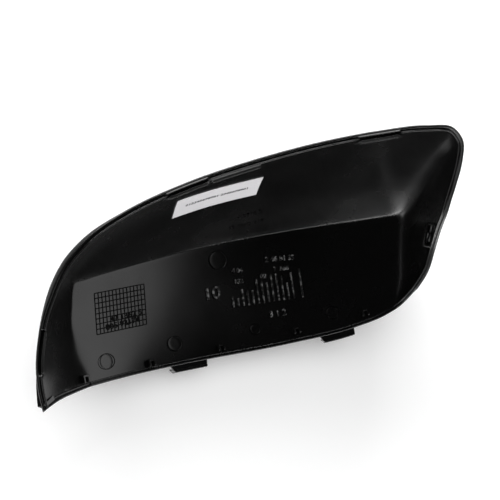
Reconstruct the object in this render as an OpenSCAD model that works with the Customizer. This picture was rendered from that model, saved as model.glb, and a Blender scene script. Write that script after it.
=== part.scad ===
// Wing mirror cover: a one-piece moulded shell that clips over a mirror housing,
// lying on its convex back with the open side up, and a paper label stuck inside it.
//
// The shell is a loft. A closed rim runs round the opening, an edge line runs along the
// bottom of the hollow, the upper wall is lofted from the edge line to the upper rim, and
// the main face spans from the edge line to the lower rim. The outer skin is the inner one
// pushed out by the wall.

/* [Cover] */
// Length of the cover along its edge line
cover_l = 212; // [190:1:240]
// Height of the opening, from the lower rim to the top of the upper rim
cover_h = 91; // [80:1:105]
// Depth from the edge line at its lowest to the tip of the rim
cover_d = 100; // [85:1:115]
// Wall thickness
wall = 2.5; // [2:0.1:3.5]
// How far the main face comes forward at its outer end
face_bow = 60; // [45:1:66]
// How far the main face comes forward at its lower edge
face_curl = 12; // [8:0.5:16]
// How far the upper wall bulges from a straight line, as a share of its width
wall_bulge = 0.12; // [0.05:0.01:0.16]
// Length over which the main face turns up into the inner end wall
end_turn = 18; // [12:1:26]

/* [Rim] */
// Width of the rim face round the upper rim
rim_w = 3; // [2.6:0.1:4]
// Width of the rim face along the lower edge
low_rim_w = 2.2; // [1.8:0.1:3]
// Height of the lip that the rim stands above the inside
lip_h = 0.8; // [0.4:0.1:1.5]
// Depth of the straight band below the rim's outer edge
skirt_h = 2.2; // [1.5:0.1:3]
// Bevel on the rim's outer edge
rim_bevel = 0.4; // [0.2:0.1:0.8]

/* [Catch tabs under the lower edge] */
// Length of a catch tab
tab_l = 18; // [12:0.5:24]
// How far a tab stands out below the lower edge
tab_out = 3.2; // [2.4:0.1:4]
// How far a tab reaches behind the rim
tab_drop = 6; // [4:0.5:9]
// Thickness of a tab
tab_t = 1.2; // [0.9:0.1:1.6]
// Radius of the bead along a tab's end
tab_bead_r = 1.1; // [0.9:0.1:1.5]
// Position of the outer tab along the cover
tab_a_u = -40; // [-50:1:-30]
// Position of the inner tab along the cover
tab_b_u = 33; // [22:1:40]

/* [Ledges under the upper rim] */
// Length of a ledge
ledge_l = 19; // [12:0.5:22]
// How far a ledge stands out from the wall
ledge_out = 1.5; // [1:0.1:2.5]
// Thickness of a ledge
ledge_t = 1.2; // [0.9:0.1:1.6]
// Depth of the slot between a ledge and the rim
ledge_drop = 4; // [3:0.25:5]
// Width of that slot
slot_w = 1.5; // [1:0.1:1.7]
// Length of the pad along the middle of the upper rim
pad_l = 26; // [20:1:28]
// How far the pad stands out from the wall
pad_out = 1.6; // [1:0.1:2.4]
// Height of the pad
pad_h = 4; // [3:0.25:6]

/* [Hook block on the inner end] */
// Length of the hook block
hook_l = 12; // [9:0.5:15]
// Width of the hook block
hook_w = 4; // [3.4:0.1:5]
// Height of the hook block
hook_h = 6; // [4:0.5:6.5]
// Length of the recess in its top
recess_l = 7; // [5:0.5:8]
// Width of the recess
recess_w = 1.2; // [0.8:0.1:1.6]

/* [Lugs inside the lower edge] */
// Side of a lug
lug_w = 3.6; // [3:0.1:5]
// Height of a lug above the face
lug_h = 2.6; // [1.5:0.1:4]
// Wall of a lug
lug_t = 1; // [0.8:0.1:1.3]

/* [Moulding marks on the main face] */
// Diameter of the largest ejector mark
pin_d = 9; // [7:0.5:10]
// Diameter of the gate mark
gate_d = 5; // [4:0.5:6.5]
// Height of the ejector marks and ribs above the face
mark_h = 0.3; // [0.25:0.05:0.6]
// Spacing of the ribs in the comb
rib_pitch = 2.5; // [2:0.1:3]
// Width of a rib
rib_w = 0.8; // [0.5:0.1:1.2]
// Length of the longest rib
rib_l = 14.5; // [9:0.5:15]

/* [Label] */
// Length of the label
label_l = 43; // [34:1:48]
// Height of the label
label_h = 19; // [14:1:21]
// Thickness of the label
label_t = 0.2; // [0.15:0.05:0.4]
// Gap between the label and the wall, filled by its glue
label_gap = 0.1; // [0.05:0.05:0.3]

/* [Rest] */
// Roll of the cover about its long axis as it lies at rest
rest_roll = 3.4; // [-10:0.1:10]
// Pitch of the cover as it lies at rest, tip down
rest_pitch = -19.9; // [-28:0.1:-12]

/* [Hidden] */

// Sizes at which the outline below is drawn
DRAWN = [212, 91, 100];
STRETCH = [cover_l / DRAWN.x, cover_h / DRAWN.y, cover_d / DRAWN.z];

// Sections of the upper wall, from the tip round the upper rim to the inner end:
// the rim's outer edge [u, v, w], then the edge line [u, v] it is lofted from
SECTIONS = [
    [-104, -50, 100, -84.5, -43.5],
    [-104.3, -41, 99.5, -87, -36.5],
    [-103, -30, 99, -89, -28],
    [-99.3, -17, 97, -88.5, -18],
    [-94.6, -5, 95, -86.3, -8],
    [-89.7, 4, 93, -84.5, -0.5],
    [-82, 13.5, 91, -83.2, 2.6],
    [-71, 21.5, 89, -78, 3.3],
    [-50, 29.5, 85, -57, 5],
    [-20, 36.2, 80, -28, 6.2],
    [10, 39.6, 76, 2, 5.8],
    [40, 41.2, 72, 34, 4.2],
    [70, 40.7, 67, 62, 2],
    [92, 38.7, 62, 78, 0.7],
    [104.5, 35, 59, 83.5, 0.1],
    [108, 28.5, 56, 86.5, -0.6],
    [106, 19, 53, 89, -1.6],
    [102, 10, 49, 91, -2.6],
    [97.5, 1.5, 46, 92.5, -3.4]
];
// Section at the outer end of the edge line
CORNER = 6;
// The rim's outer edge from the last section down the inner end
RIM_END = [[95, -3.5, 43.5], [91.5, -9.5, 38.5], [87.5, -18, 31], [82.3, -28.2, 25], [74.5, -36.8, 20]];
// The lower rim, from the inner end to the outer end of the main face
RIM_LOW = [[74.5, -36.8], [67, -42.7], [58, -46], [42, -48.5], [8, -49], [-32, -47], [-68, -45.7], [-85, -45.7]];
// The foot of the outer end wall, from the main face to the tip
RIM_TIP = [[-85, -45.7, 61.3], [-91, -46.2, 73], [-97.5, -47.2, 86], [-104, -50, 100]];

// Steps between two sections, on the outer end wall and along the edge line
END_STEPS = 2;
EDGE_STEPS = 3;
// Steps across the upper wall
WALL_STEPS = 8;
FACE_STEPS = CORNER * END_STEPS;
LINE_STEPS = (len(SECTIONS) - 1 - CORNER) * EDGE_STEPS;
LOFT_STEPS = FACE_STEPS + LINE_STEPS;

// Where the main face lies deepest, and the height of its upper border
BOW_U = 45 * STRETCH.x;
BOW_REACH = 129 * STRETCH.x;
CURL_V = 5 * STRETCH.y;
CURL_REACH = 51 * STRETCH.y;
// The lower edge curls forward only away from the outer end
CURL_FROM = -85 * STRETCH.x;
CURL_GROWS = 75 * STRETCH.x;

function ease(x) = let(y = max(0, min(1, x))) y * y * (3 - 2 * y);
function stretched(p) = [for (i = [0 : len(p) - 1]) p[i] * STRETCH[i]];

// Depth of the main face's inside at a point of the outline
function bow(u) = face_bow * pow((u - BOW_U) / BOW_REACH, 2) * (u < BOW_U ? 1 : 0.33);
function curl(u, v) = let(h = (CURL_V - v) / CURL_REACH)
    face_curl * ease((u - CURL_FROM) / CURL_GROWS) * (0.2 * h + 0.8 * pow(max(h, 0), 3));
function face_w(u, v) = bow(u) + curl(u, v);
function slope_u(u, v) = (face_w(u + 0.5, v) - face_w(u - 0.5, v));
function slope_v(u, v) = (face_w(u, v + 0.5) - face_w(u, v - 0.5));

// A smooth curve through points: Hermite spans with tangents weighted by chord length
function unit(v) = v / max(norm(v), 0.000001);
function chord(P, i) = norm(P[i + 1] - P[i]);
function chord_dir(P, i) = (P[i + 1] - P[i]) / chord(P, i);
function inner_tangent(P, i) =
    (chord_dir(P, i - 1) * chord(P, i) + chord_dir(P, i) * chord(P, i - 1)) / (chord(P, i) + chord(P, i - 1));
function tangent(P, i) = let(n = len(P) - 1)
    i == 0 ? 1.5 * chord_dir(P, 0) - 0.5 * inner_tangent(P, 1)
    : i == n ? 1.5 * chord_dir(P, n - 1) - 0.5 * inner_tangent(P, n - 1)
    : inner_tangent(P, i);
function curve(P, t) = let(
    i = max(0, min(floor(t), len(P) - 2)), x = t - i, d = chord(P, i),
    a = 2 * pow(x, 3) - 3 * pow(x, 2) + 1, b = pow(x, 3) - 2 * pow(x, 2) + x, c = pow(x, 3) - pow(x, 2))
    a * P[i] + b * d * tangent(P, i) + (1 - a) * P[i + 1] + c * d * tangent(P, i + 1);

// Running length along a list of points, and the point at a share of it
function runs(Q, i = 1, s = [0]) = i >= len(Q) ? s : runs(Q, i + 1, concat(s, [s[i - 1] + norm(Q[i] - Q[i - 1])]));
function curve_at(P, shares, from = 0) = let(
    n = (len(P) - 1 - from) * 12, Q = [for (i = [0 : n]) curve(P, from + i / 12)], s = runs(Q),
    table = [for (i = [0 : n]) [s[i] / s[n], from + i / 12]])
    [for (a = shares) curve(P, lookup(a, table))];

// Loft parameter of a step, in sections
function section_of(i) = i <= FACE_STEPS ? i / END_STEPS : CORNER + (i - FACE_STEPS) / EDGE_STEPS;

LAST = len(SECTIONS) - 1;
RIM_PTS = [for (p = concat(SECTIONS, RIM_END)) stretched([p[0], p[1], p[2]])];
LINE_PTS = [for (s = SECTIONS) stretched([s[3], s[4]])];
RIM_UP = [for (i = [0 : LOFT_STEPS]) curve(RIM_PTS, section_of(i))];
LINE_UV = [for (i = [0 : LOFT_STEPS]) curve(LINE_PTS, section_of(i))];

// Shares of the edge line and of the outer end line at which the face's columns and rows lie
EDGE_RUN = runs([for (i = [FACE_STEPS : LOFT_STEPS]) LINE_UV[i]]);
COLUMNS = EDGE_RUN / EDGE_RUN[LINE_STEPS];
END_RUN = runs([for (k = [0 : FACE_STEPS]) LINE_UV[FACE_STEPS - k]]);
ROWS = END_RUN / END_RUN[FACE_STEPS];

// The five runs of the rim's outer edge
TIP_RUN = curve_at([for (p = RIM_TIP) stretched(p)], [for (r = [0 : WALL_STEPS]) r / WALL_STEPS]);
TURN_RUN = [for (r = [0 : WALL_STEPS]) curve(RIM_PTS, LAST + 1 - r / WALL_STEPS)];
END_LOW = curve_at(RIM_PTS, ROWS, LAST + 1);
LOW_UV = curve_at([for (p = RIM_LOW) stretched(p)], [for (a = COLUMNS) 1 - a]);

// Rise of the face into the inner end wall, at a share of its length
END_FROM = 1 - end_turn / EDGE_RUN[LINE_STEPS];
function turn_up(a) = a <= END_FROM ? 0 : pow((a - END_FROM) / (1 - END_FROM), 2.4);
LOW_CORNER = END_LOW[FACE_STEPS];
LOW_RISE = LOW_CORNER.z - lip_h - face_w(LOW_CORNER.x, LOW_CORNER.y + low_rim_w);
LOW_RUN = [for (j = [0 : LINE_STEPS]) let(p = LOW_UV[j])
    [p.x, p.y, face_w(p.x, p.y + low_rim_w) + lip_h + LOW_RISE * turn_up(COLUMNS[j])]];

// The rim's outer edge as one closed loop, and its share of the way from narrow to wide
RIM = concat(
    [for (r = [0 : WALL_STEPS]) TIP_RUN[r]],
    [for (i = [1 : LOFT_STEPS]) RIM_UP[i]],
    [for (r = [WALL_STEPS - 1 : -1 : 0]) TURN_RUN[r]],
    [for (k = [1 : FACE_STEPS]) END_LOW[k]],
    [for (j = [LINE_STEPS - 1 : -1 : 1]) LOW_RUN[j]]);
N_RIM = len(RIM);
// Positions in the loop at which each run starts
AT_TIP = WALL_STEPS;
AT_TURN = AT_TIP + LOFT_STEPS;
AT_END = AT_TURN + WALL_STEPS;
AT_LOW = AT_END + FACE_STEPS;

// Width of the rim face round the loop, narrow along the lower edge
function rim_width(m) = let(
    wide = m <= AT_TIP ? ease(m / AT_TIP)
        : m <= AT_TURN ? 1
        : m <= AT_LOW ? 1 - ease((m - AT_TURN) / (AT_LOW - AT_TURN))
        : 0)
    low_rim_w + (rim_w - low_rim_w) * wide;

// Inward direction in plan at a point of the loop, lengthened at a corner
function flat(p) = [p.x, p.y];
function left_of(d) = [-d.y, d.x];
RIM_IN = [for (m = [0 : N_RIM - 1]) let(
    p = flat(RIM[m]),
    a = left_of(unit(p - flat(RIM[(m + N_RIM - 1) % N_RIM]))),
    b = left_of(unit(flat(RIM[(m + 1) % N_RIM]) - p)),
    n = unit(a + b))
    -n / max(0.62, n * b)];

// The rim's section: points set in from the outer edge and down from its top
function rim_loop(inset, down) = [for (m = [0 : N_RIM - 1]) let(n = RIM_IN[m], k = inset * rim_width(m))
    RIM[m] + [n.x * k, n.y * k, -down]];
INNER_RIM = rim_loop(1, lip_h);
LIP_RIM = rim_loop(0.92, 0);
TOP_RIM = [for (m = [0 : N_RIM - 1]) RIM[m] + rim_bevel * [RIM_IN[m].x, RIM_IN[m].y, 0]];
SIDE_RIM = [for (p = RIM) p - [0, 0, rim_bevel]];
OUTER_RIM = [for (p = RIM) p - [0, 0, skirt_h]];

// The inside of the edge line, ending on the rim at both ends
END_RISE = [for (k = [0 : FACE_STEPS]) let(p = INNER_RIM[AT_END + k]) p.z - face_w(p.x, p.y)];
LINE = [for (i = [0 : LOFT_STEPS])
    i == 0 ? INNER_RIM[0]
    : i == LOFT_STEPS ? INNER_RIM[AT_END]
    : let(p = LINE_UV[i], a = i < FACE_STEPS ? 0 : COLUMNS[i - FACE_STEPS])
        [p.x, p.y, face_w(p.x, p.y) + END_RISE[0] * turn_up(a)]];

// The inside of the upper wall: one bulged section for each step of the loft
function wall_section(a, b, t) = let(
    side = [b.x - a.x, b.y - a.y, 0], up = [0, 0, b.z - a.z], g = wall_bulge,
    p = a + side * (1 / 3 + g) + up * (1 / 3 - 0.7 * g),
    q = a + side * (2 / 3 + g) + up * (2 / 3 - 0.7 * g), s = 1 - t)
    s * s * s * a + 3 * s * s * t * p + 3 * s * t * t * q + t * t * t * b;
function wall_raw(i, r) = wall_section(LINE[i], INNER_RIM[AT_TIP + i], r / WALL_STEPS);
// Near both ends the sections ease onto the rim
TIP_EASE = 7;
TURN_EASE = 5;
TIP_FIX = [for (r = [0 : WALL_STEPS]) INNER_RIM[r] - wall_raw(0, r)];
TURN_FIX = [for (r = [0 : WALL_STEPS]) INNER_RIM[AT_END - r] - wall_raw(LOFT_STEPS, r)];
function wall_point(i, r) = wall_raw(i, r)
    + TIP_FIX[r] * pow(max(0, 1 - i / TIP_EASE), 2)
    + TURN_FIX[r] * pow(max(0, 1 - (LOFT_STEPS - i) / TURN_EASE), 2);
WALL = [for (i = [0 : LOFT_STEPS]) [for (r = [0 : WALL_STEPS]) wall_point(i, r)]];

// The inside of the main face: a patch between four borders, each column from edge line to rim
function low_point(j) = INNER_RIM[j == 0 ? 0 : AT_LOW + LINE_STEPS - j];
function face_point(j, k) = let(
    a = COLUMNS[j], t = ROWS[k],
    top = flat(LINE[FACE_STEPS + j]), low = flat(low_point(j)),
    left = flat(LINE[FACE_STEPS - k]), right = flat(INNER_RIM[AT_END + k]),
    p = (1 - t) * top + t * low + (1 - a) * left + a * right
        - (1 - a) * (1 - t) * flat(LINE[FACE_STEPS]) - a * (1 - t) * flat(LINE[LOFT_STEPS])
        - (1 - a) * t * flat(LINE[0]) - a * t * flat(INNER_RIM[AT_LOW]))
    k == 0 ? LINE[FACE_STEPS + j]
    : j == 0 ? LINE[FACE_STEPS - k]
    : j == LINE_STEPS ? INNER_RIM[AT_END + k]
    : k == FACE_STEPS ? low_point(j)
    : [p.x, p.y, face_w(p.x, p.y) + END_RISE[k] * turn_up(a)];
FACE = [for (j = [0 : LINE_STEPS]) [for (k = [0 : FACE_STEPS]) face_point(j, k)]];

// Outward directions of both patches
function wall_out(i, r) = unit(cross(
    WALL[i][min(r + 1, WALL_STEPS)] - WALL[i][max(r - 1, 0)],
    WALL[min(i + 1, LOFT_STEPS)][r] - WALL[max(i - 1, 0)][r]));
function face_out(j, k) = unit(cross(
    FACE[min(j + 1, LINE_STEPS)][k] - FACE[max(j - 1, 0)][k],
    FACE[j][min(k + 1, FACE_STEPS)] - FACE[j][max(k - 1, 0)]));
function line_out(i) = unit(wall_out(i, 0)
    + (i < FACE_STEPS ? face_out(0, FACE_STEPS - i) : face_out(i - FACE_STEPS, 0)));

// Points of the shell: the wall's grid, the face's own points, then the loops of the rim
N_WALL = (LOFT_STEPS + 1) * (WALL_STEPS + 1);
N_SKIN = N_WALL + LINE_STEPS * FACE_STEPS;
function wall_at(i, r) = i * (WALL_STEPS + 1) + r;
function face_at(j, k) = k == 0 ? wall_at(FACE_STEPS + j, 0)
    : j == 0 ? wall_at(FACE_STEPS - k, 0)
    : N_WALL + (j - 1) * FACE_STEPS + k - 1;
RIM_AT = concat(
    [for (r = [0 : WALL_STEPS]) wall_at(0, r)],
    [for (i = [1 : LOFT_STEPS]) wall_at(i, WALL_STEPS)],
    [for (r = [WALL_STEPS - 1 : -1 : 0]) wall_at(LOFT_STEPS, r)],
    [for (k = [1 : FACE_STEPS]) face_at(LINE_STEPS, k)],
    [for (j = [LINE_STEPS - 1 : -1 : 1]) face_at(j, FACE_STEPS)]);

IN_SKIN = concat(
    [for (i = [0 : LOFT_STEPS]) for (r = [0 : WALL_STEPS]) WALL[i][r]],
    [for (j = [1 : LINE_STEPS]) for (k = [1 : FACE_STEPS]) FACE[j][k]]);
function outer_wall(i, r) =
    r == WALL_STEPS ? OUTER_RIM[AT_TIP + i]
    : i == 0 ? OUTER_RIM[r]
    : i == LOFT_STEPS ? OUTER_RIM[AT_END - r]
    : WALL[i][r] + wall * (r == 0 ? line_out(i) : wall_out(i, r));
function outer_face(j, k) =
    k == FACE_STEPS ? OUTER_RIM[AT_LOW + LINE_STEPS - j]
    : j == LINE_STEPS ? OUTER_RIM[AT_END + k]
    : FACE[j][k] + wall * face_out(j, k);
OUT_SKIN = concat(
    [for (i = [0 : LOFT_STEPS]) for (r = [0 : WALL_STEPS]) outer_wall(i, r)],
    [for (j = [1 : LINE_STEPS]) for (k = [1 : FACE_STEPS]) outer_face(j, k)]);

// Two triangles for each cell of a grid
function cell(a, b, c, d) = [[a, b, c], [a, c, d]];
SKIN_FACES = concat(
    [for (i = [0 : LOFT_STEPS - 1]) for (r = [0 : WALL_STEPS - 1])
        each cell(wall_at(i, r), wall_at(i, r + 1), wall_at(i + 1, r + 1), wall_at(i + 1, r))],
    [for (j = [0 : LINE_STEPS - 1]) for (k = [0 : FACE_STEPS - 1])
        each cell(face_at(j, k), face_at(j + 1, k), face_at(j + 1, k + 1), face_at(j, k + 1))]);
// The rim's loops, from the inner skin over the rim to the outer skin
LOOPS = 3;
function loop_at(l, m) = let(n = m % N_RIM)
    l == 0 ? RIM_AT[n]
    : l == LOOPS + 1 ? N_SKIN + RIM_AT[n]
    : 2 * N_SKIN + (l - 1) * N_RIM + n;
RIM_FACES = [for (l = [0 : LOOPS]) for (m = [0 : N_RIM - 1])
    each cell(loop_at(l, m), loop_at(l + 1, m), loop_at(l + 1, m + 1), loop_at(l, m + 1))];

module skin() {
    polyhedron(
        points = concat(IN_SKIN, OUT_SKIN, LIP_RIM, TOP_RIM, SIDE_RIM),
        faces = concat(
            [for (f = SKIN_FACES) f],
            [for (f = SKIN_FACES) [f[2] + N_SKIN, f[1] + N_SKIN, f[0] + N_SKIN]],
            RIM_FACES),
        convexity = 6);
}

// How far a piece of the moulding sinks into the wall it grows from
SINK = 0.6;

// Origin on the rim's outer edge at a section: x along the rim, y outward, z toward the open side
module at_rim(t, tilted = true) {
    d = unit(curve(RIM_PTS, t + 0.1) - curve(RIM_PTS, t - 0.1));
    translate(curve(RIM_PTS, t)) rotate([0, tilted ? -asin(d.z) : 0, atan2(d.y, d.x)]) children();
}

// Ledges: one on the outer end wall and two on the upper rim, each with a slot behind it:
// its section, and how far it stands nearer the rim's edge than ledge_out sets
LEDGES = [[2.5, 0.8], [8.95, 0], [12, 0]];
LEDGE_TOP = 0.6;
LEDGE_FOOT = 2;
SLOT_END = 0.6;
module ledge(at) {
    at_rim(at.x) translate([-ledge_l / 2, at.y - rim_w - ledge_out, -ledge_drop - LEDGE_FOOT])
        cube([ledge_l, ledge_t, ledge_drop + LEDGE_FOOT - LEDGE_TOP]);
}
module ledge_slot(at) {
    at_rim(at.x) translate([-ledge_l / 2 - SLOT_END, at.y - rim_w - ledge_out + ledge_t / 2, -ledge_drop])
        cube([ledge_l + 2 * SLOT_END, slot_w + ledge_t / 2, ledge_drop + 1]);
}

// Pad along the middle of the upper rim
PAD_AT = 9.72;
PAD_TOP = 1;
module pad() {
    at_rim(PAD_AT) translate([-pad_l / 2, -rim_w - pad_out, -PAD_TOP - pad_h])
        cube([pad_l, pad_out + rim_w / 2, pad_h]);
}

// Hook block beside the inner end of the rim, with a recess in its top
HOOK_AT = 20.45;
HOOK_IN = 4.65;
HOOK_TOP = 2.3;
RECESS_DEPTH = 3;
module hook() {
    at_rim(HOOK_AT, false) translate([0, -HOOK_IN, -HOOK_TOP]) difference() {
        translate([-hook_l / 2, -hook_w / 2, -hook_h]) cube([hook_l, hook_w, hook_h]);
        translate([-recess_l / 2, -recess_w / 2, -RECESS_DEPTH]) cube([recess_l, recess_w, RECESS_DEPTH + 1]);
    }
}

// The lower rim's outer edge as a line over u
LOW_V = [for (p = LOW_RUN) [p.x, p.y]];
LOW_W = [for (p = LOW_RUN) [p.x, p.z]];
function low_edge(u) = [u, lookup(u, LOW_V), lookup(u, LOW_W)];
function low_dir(u) = unit(low_edge(u + tab_l / 3) - low_edge(u - tab_l / 3));
function low_turn(u) = let(d = low_dir(u)) [0, -asin(d.z), atan2(d.y, d.x)];

// A catch tab: a web out from the lower edge, a plate reaching behind the rim and a bead along its end
WEB_TOP = 0.8;
PLATE_TOP = 0.2;
BEAD_SIDES = 24;
module tab(u) {
    translate(low_edge(u)) rotate(low_turn(u)) {
        translate([-tab_l / 2, -tab_out + tab_t / 2, -WEB_TOP - tab_t])
            cube([tab_l, tab_out - tab_t / 2 + low_rim_w / 2, tab_t]);
        translate([-tab_l / 2, -tab_out, -tab_drop]) cube([tab_l, tab_t, tab_drop - PLATE_TOP]);
        translate([-tab_l / 2, -tab_out + tab_t / 2, -tab_drop]) rotate([0, 90, 0])
            cylinder(h = tab_l, r = tab_bead_r, $fn = BEAD_SIDES);
    }
}

// Origin on the inside of the main face, z along its normal
module on_face(u, v) {
    tilt = -atan(slope_u(u, v));
    translate([u, v, face_w(u, v)]) rotate([atan(slope_v(u, v) * cos(tilt)), tilt, 0]) children();
}

// Lugs: small pockets open toward the lower edge, [u, v, extra height where the wall is steep]
LUGS = [[-88.7, -41.3, 2], [-57.6, -42.2, 0], [-24.2, -43.4, 0], [13.6, -44.2, 0], [48.9, -43.2, 0]];
module lug(at) {
    w = lug_w / 2;
    k = lug_w / 2 - lug_t;
    on_face(at.x * STRETCH.x, at.y * STRETCH.y) translate([0, 0, -SINK]) linear_extrude(SINK + lug_h + at.z)
        polygon([[-w, -w], [-k, -w], [-k, k], [k, k], [k, -w], [w, -w], [w, w], [-w, w]]);
}

// Round marks of the mould: [u, v, diameter]
MARKS = [
    [-76.7, -36.3, pin_d * 0.8],
    [-45, -36, pin_d * 0.78],
    [-16.5, -1.5, pin_d],
    [33, -39, pin_d * 0.67],
    [-6, -38.5, gate_d]
];
module mark(at) {
    on_face(at.x * STRETCH.x, at.y * STRETCH.y) translate([0, 0, -SINK])
        cylinder(h = SINK + mark_h, d = at.z, $fn = 32);
}

// Comb of raised ribs: how far each one stands along the row in pitches, and its share of the longest one
RIBS = [
    [0, 0.38], [1, 0.28], [2, 0.57], [3, 0.5], [4, 0.48], [5, 0.84], [6, 0.74], [7, 0.67],
    [8, 0.93], [9, 0.93], [10, 0.84], [11, 0.57], [12, 0.9], [13.75, 1]
];
// Foot of the first rib, how far each next foot drops, and how far the ribs lean
COMB_AT = [-13.8, -25.9];
COMB_FALL = -0.2;
COMB_LEAN = 4.5;
module comb() {
    for (rib = RIBS) {
        l = rib_l * rib.y;
        foot = [COMB_AT.x * STRETCH.x + rib.x * rib_pitch, COMB_AT.y * STRETCH.y + rib.x * COMB_FALL];
        middle = foot + l / 2 * [sin(COMB_LEAN), cos(COMB_LEAN)];
        on_face(middle.x, middle.y) rotate([0, 0, -COMB_LEAN]) translate([-rib_w / 2, -l / 2, -SINK])
            cube([rib_w, l, SINK + mark_h]);
    }
}

// The label's corners on the upper wall as [section, share of the wall's height], clockwise from the upper left
LABEL_AT = [[8.767, 0.853], [10.142, 0.787], [10.008, 0.55], [8.625, 0.572]];
LABEL_DRAWN = [43, 19];
LABEL_CELLS = [12, 5];
function label_at(a, b) = let(
    x = 0.5 + (a - 0.5) * label_l / LABEL_DRAWN.x, y = 0.5 + (b - 0.5) * label_h / LABEL_DRAWN.y)
    (1 - y) * ((1 - x) * LABEL_AT[0] + x * LABEL_AT[1]) + y * ((1 - x) * LABEL_AT[3] + x * LABEL_AT[2]);
// A point of the wall's grid between its steps, and the direction away from the wall there
function step_of(t) = t <= CORNER ? t * END_STEPS : FACE_STEPS + (t - CORNER) * EDGE_STEPS;
function between(G, i, r) = let(a = floor(i), b = floor(r), x = i - a, y = r - b)
    (1 - x) * ((1 - y) * G[a][b] + y * G[a][b + 1]) + x * ((1 - y) * G[a + 1][b] + y * G[a + 1][b + 1]);
function on_wall(q) = between(WALL, step_of(q[0]), q[1] * WALL_STEPS);
function off_wall(q) = let(e = 0.01) unit(cross(
    on_wall(q + [e, 0]) - on_wall(q - [e, 0]),
    on_wall(q + [0, e]) - on_wall(q - [0, e])));
LABEL_GRID = [for (a = [0 : LABEL_CELLS.x]) for (b = [0 : LABEL_CELLS.y])
    let(q = label_at(a / LABEL_CELLS.x, b / LABEL_CELLS.y)) [on_wall(q), off_wall(q)]];

module cover_shell_drawn() {
    difference() {
        skin();
        for (at = LEDGES) ledge_slot(at);
    }
    for (at = LEDGES) ledge(at);
    pad();
    hook();
    for (u = [tab_a_u, tab_b_u]) tab(u);
    for (at = LUGS) lug(at);
    for (at = MARKS) mark(at);
    comb();
}

module label_drawn() {
    n = (LABEL_CELLS.x + 1) * (LABEL_CELLS.y + 1);
    rows = LABEL_CELLS.y + 1;
    function at(a, b) = a * rows + b;
    border = concat(
        [for (a = [0 : LABEL_CELLS.x]) at(a, 0)],
        [for (b = [1 : LABEL_CELLS.y]) at(LABEL_CELLS.x, b)],
        [for (a = [LABEL_CELLS.x - 1 : -1 : 0]) at(a, LABEL_CELLS.y)],
        [for (b = [LABEL_CELLS.y - 1 : -1 : 1]) at(0, b)]);
    sides = len(border);
    polyhedron(
        points = concat(
            [for (g = LABEL_GRID) g[0] + label_gap * g[1]],
            [for (g = LABEL_GRID) g[0] + (label_gap + label_t) * g[1]]),
        faces = concat(
            [for (a = [0 : LABEL_CELLS.x - 1]) for (b = [0 : LABEL_CELLS.y - 1])
                each cell(at(a, b), at(a, b + 1), at(a + 1, b + 1), at(a + 1, b))],
            [for (a = [0 : LABEL_CELLS.x - 1]) for (b = [0 : LABEL_CELLS.y - 1])
                each cell(n + at(a, b), n + at(a + 1, b), n + at(a + 1, b + 1), n + at(a, b + 1))],
            [for (i = [0 : sides - 1]) let(j = (i + 1) % sides)
                each cell(border[i], border[j], n + border[j], n + border[i])]),
        convexity = 4);
}

// At rest: turned onto its back, then centred with its lowest point on the ground
function turned(p) = let(
    y = p.y * cos(rest_roll) - p.z * sin(rest_roll), z = p.y * sin(rest_roll) + p.z * cos(rest_roll))
    [p.x * cos(rest_pitch) + z * sin(rest_pitch), y, z * cos(rest_pitch) - p.x * sin(rest_pitch)];
function tab_point(u, x, y, z) = let(d = low_dir(u), in = unit([-d.y, d.x, 0]))
    low_edge(u) + x * d + y * in + z * cross(d, in);
TAB_ENDS = [for (u = [tab_a_u, tab_b_u]) for (x = [-tab_l / 2, tab_l / 2]) for (i = [0 : BEAD_SIDES - 1])
    tab_point(u, x, -tab_out + tab_t / 2 + tab_bead_r * cos(i * 360 / BEAD_SIDES),
        -tab_drop + tab_bead_r * sin(i * 360 / BEAD_SIDES))];
RESTED = [for (p = concat(OUT_SKIN, TOP_RIM, SIDE_RIM, LIP_RIM, TAB_ENDS)) turned(p)];
LOW_SIDE = [for (i = [0 : 2]) min([for (p = RESTED) p[i]])];
HIGH_SIDE = [for (i = [0 : 2]) max([for (p = RESTED) p[i]])];
SEAT = -[(LOW_SIDE.x + HIGH_SIDE.x) / 2, (LOW_SIDE.y + HIGH_SIDE.y) / 2, LOW_SIDE.z];
module at_rest() {
    translate(SEAT) rotate([rest_roll, rest_pitch, 0]) children();
}

module cover_shell() {
    color([0.05, 0.05, 0.05]) at_rest() cover_shell_drawn();
}

module label() {
    color("white") at_rest() label_drawn();
}

cover_shell();
label();
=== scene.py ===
import math

import bpy
import bmesh
import numpy as np
from mathutils import Matrix, Vector


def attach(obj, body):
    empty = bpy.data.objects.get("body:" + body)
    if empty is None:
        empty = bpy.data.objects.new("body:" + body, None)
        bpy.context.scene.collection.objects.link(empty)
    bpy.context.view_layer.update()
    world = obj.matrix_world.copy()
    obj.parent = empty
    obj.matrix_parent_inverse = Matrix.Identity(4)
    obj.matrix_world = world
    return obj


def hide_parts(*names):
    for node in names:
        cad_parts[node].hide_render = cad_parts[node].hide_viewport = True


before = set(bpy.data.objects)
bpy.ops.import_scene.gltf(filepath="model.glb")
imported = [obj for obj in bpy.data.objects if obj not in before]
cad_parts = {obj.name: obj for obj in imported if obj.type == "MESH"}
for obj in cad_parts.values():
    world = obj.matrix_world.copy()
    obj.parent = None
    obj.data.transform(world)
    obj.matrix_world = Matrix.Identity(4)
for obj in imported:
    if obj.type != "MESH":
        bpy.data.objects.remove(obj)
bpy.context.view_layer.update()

# The cover's own frame is in millimetres: u along its length, v up in the opening and
# w toward the open side. Everything is drawn in it and then turned to its place at rest.
MM = 0.001
REST_ROLL = math.radians(3.4)
REST_PITCH = math.radians(-19.9)


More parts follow.
